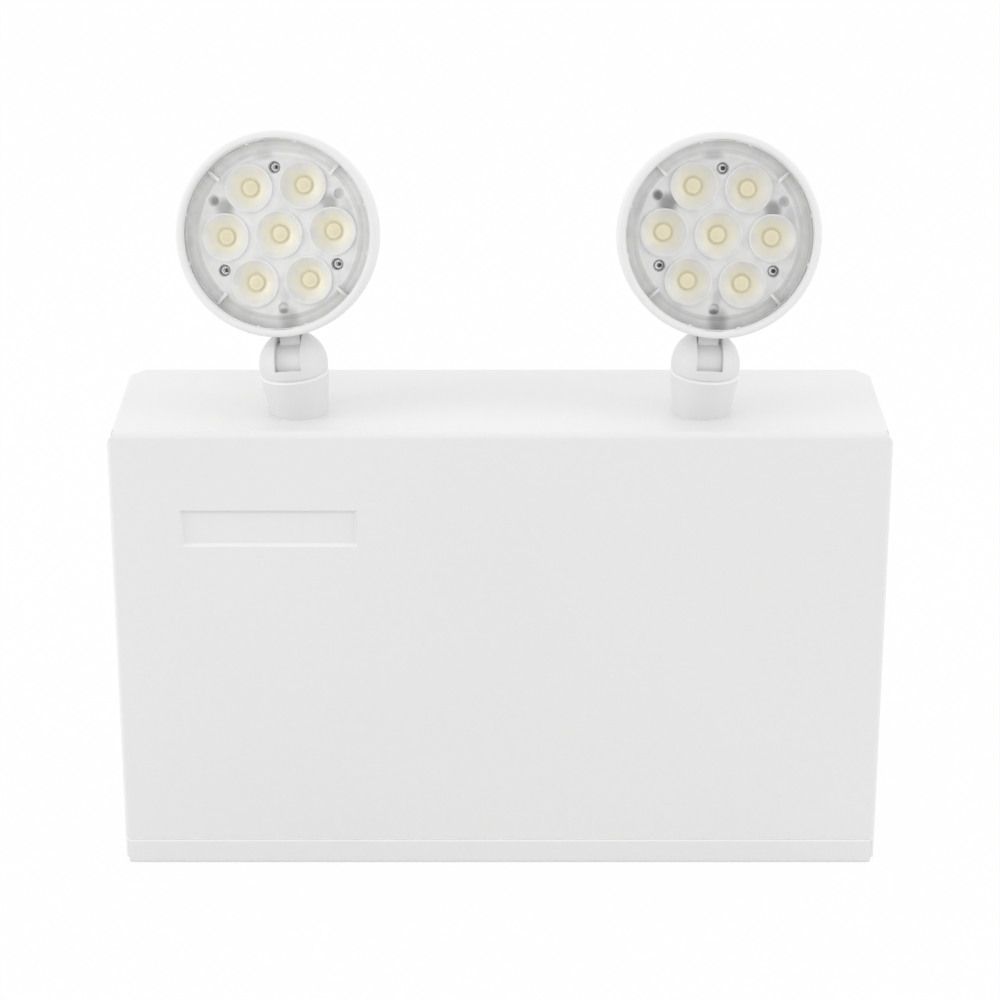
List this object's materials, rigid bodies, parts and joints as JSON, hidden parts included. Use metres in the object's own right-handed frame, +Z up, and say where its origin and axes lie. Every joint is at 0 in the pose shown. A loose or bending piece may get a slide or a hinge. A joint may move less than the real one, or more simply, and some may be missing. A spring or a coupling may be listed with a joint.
{
  "type": "twin-head emergency light",
  "caption": "White folded-steel battery cabinet with swivelling round lamp heads on its top, each with a clear lens over milky cups and yellow emitters, for emergency lighting.",
  "frame": {"origin": "middle of the chassis' underside, half way between the cover's front face and the wall plane", "axes": "+X to the right as seen from the front, +Y from the front towards the wall, +Z up"},
  "size_m": [0.3468, 0.0854, 0.3322],
  "materials": {
    "cover_paint": "white powder coat, fine texture",
    "chassis_paint": "white powder coat, fine texture",
    "screw_steel": "zinc plated",
    "strap_steel": "galvanised",
    "battery_case": "satin black",
    "blade_tin": "tinned",
    "core_iron": "varnished laminations",
    "coil_tape": "amber tape",
    "board_green": "solder resist",
    "standoff_brass": "turned",
    "relay_case": "gloss",
    "sink_aluminium": "extruded",
    "capacitor_sleeve": "shrink sleeve",
    "terminal_plastic": "satin green",
    "switch_black": "gloss black",
    "button_red": "gloss red",
    "pilot_red": "clear red",
    "swivel_white": "satin white moulding",
    "housing_white": "satin white moulding",
    "bezel_white": "satin white moulding",
    "clear_lens": "clear polycarbonate",
    "milky_optic": "milky moulding",
    "lamp_board_white": "white solder resist",
    "emitter_yellow": "phosphor yellow"
  },
  "bodies": {
    "cabinet": {"front_cover": "cover_paint", "back_chassis": "chassis_paint", "cover_screws": "screw_steel", "battery": "battery_case", "battery_terminals": "blade_tin", "battery_strap": "strap_steel", "strap_screws": "screw_steel", "transformer_core": "core_iron", "transformer_coil": "coil_tape", "transformer_screws": "screw_steel", "charger_board": "board_green", "board_standoffs": "standoff_brass", "board_screws": "screw_steel", "transfer_relay": "relay_case", "heat_sink": "sink_aluminium", "filter_capacitor": "capacitor_sleeve", "terminal_block": "terminal_plastic", "test_switch_body": "switch_black", "test_switch_nut": "screw_steel", "pilot_lamp": "pilot_red", "pilot_nut": "screw_steel", "left_swivel_base": "swivel_white", "left_base_locknut": "strap_steel", "right_swivel_base": "swivel_white", "right_base_locknut": "strap_steel"},
    "left_swivel": {"left_swivel_dome": "swivel_white", "left_tilt_pin": "swivel_white"},
    "left_head": {"left_lamp_housing": "housing_white", "left_bezel_ring": "bezel_white", "left_front_lens": "clear_lens", "left_collimator_plate": "milky_optic", "left_lamp_board": "lamp_board_white", "left_emitters": "emitter_yellow", "left_lamp_screws": "screw_steel"},
    "right_swivel": {"right_swivel_dome": "swivel_white", "right_tilt_pin": "swivel_white"},
    "right_head": {"right_lamp_housing": "housing_white", "right_bezel_ring": "bezel_white", "right_front_lens": "clear_lens", "right_collimator_plate": "milky_optic", "right_lamp_board": "lamp_board_white", "right_emitters": "emitter_yellow", "right_lamp_screws": "screw_steel"},
    "button": {"test_button": "button_red"}
  },
  "joints": [
    {"name": "left_pan", "type": "hinge", "parent": "cabinet", "child": "left_swivel", "pos_m": [-0.09025, -0.0132, 0.2297], "axis": [-0.0941, 0, 0.9956], "range_deg": [-163.5, 176.5]},
    {"name": "left_tilt", "type": "hinge", "parent": "left_swivel", "child": "left_head", "pos_m": [-0.09025, -0.0132, 0.2297], "axis": [0.9892, -0.1132, 0.0935], "range_deg": [-48.7, 81.3]},
    {"name": "right_pan", "type": "hinge", "parent": "cabinet", "child": "right_swivel", "pos_m": [0.0898, -0.0132, 0.22974], "axis": [0.0732, 0, 0.9973], "range_deg": [-173.8, 166.2]},
    {"name": "right_tilt", "type": "hinge", "parent": "right_swivel", "child": "right_head", "pos_m": [0.0898, -0.0132, 0.22974], "axis": [0.9951, 0.0663, -0.0731], "range_deg": [-51, 79]},
    {"name": "test_press", "type": "slide", "parent": "cabinet", "child": "button", "axis": [-1, 0, 0], "range_m": [0, 0.002], "stiffness_N_per_m": 400, "springref_m": -0.002}
  ]
}
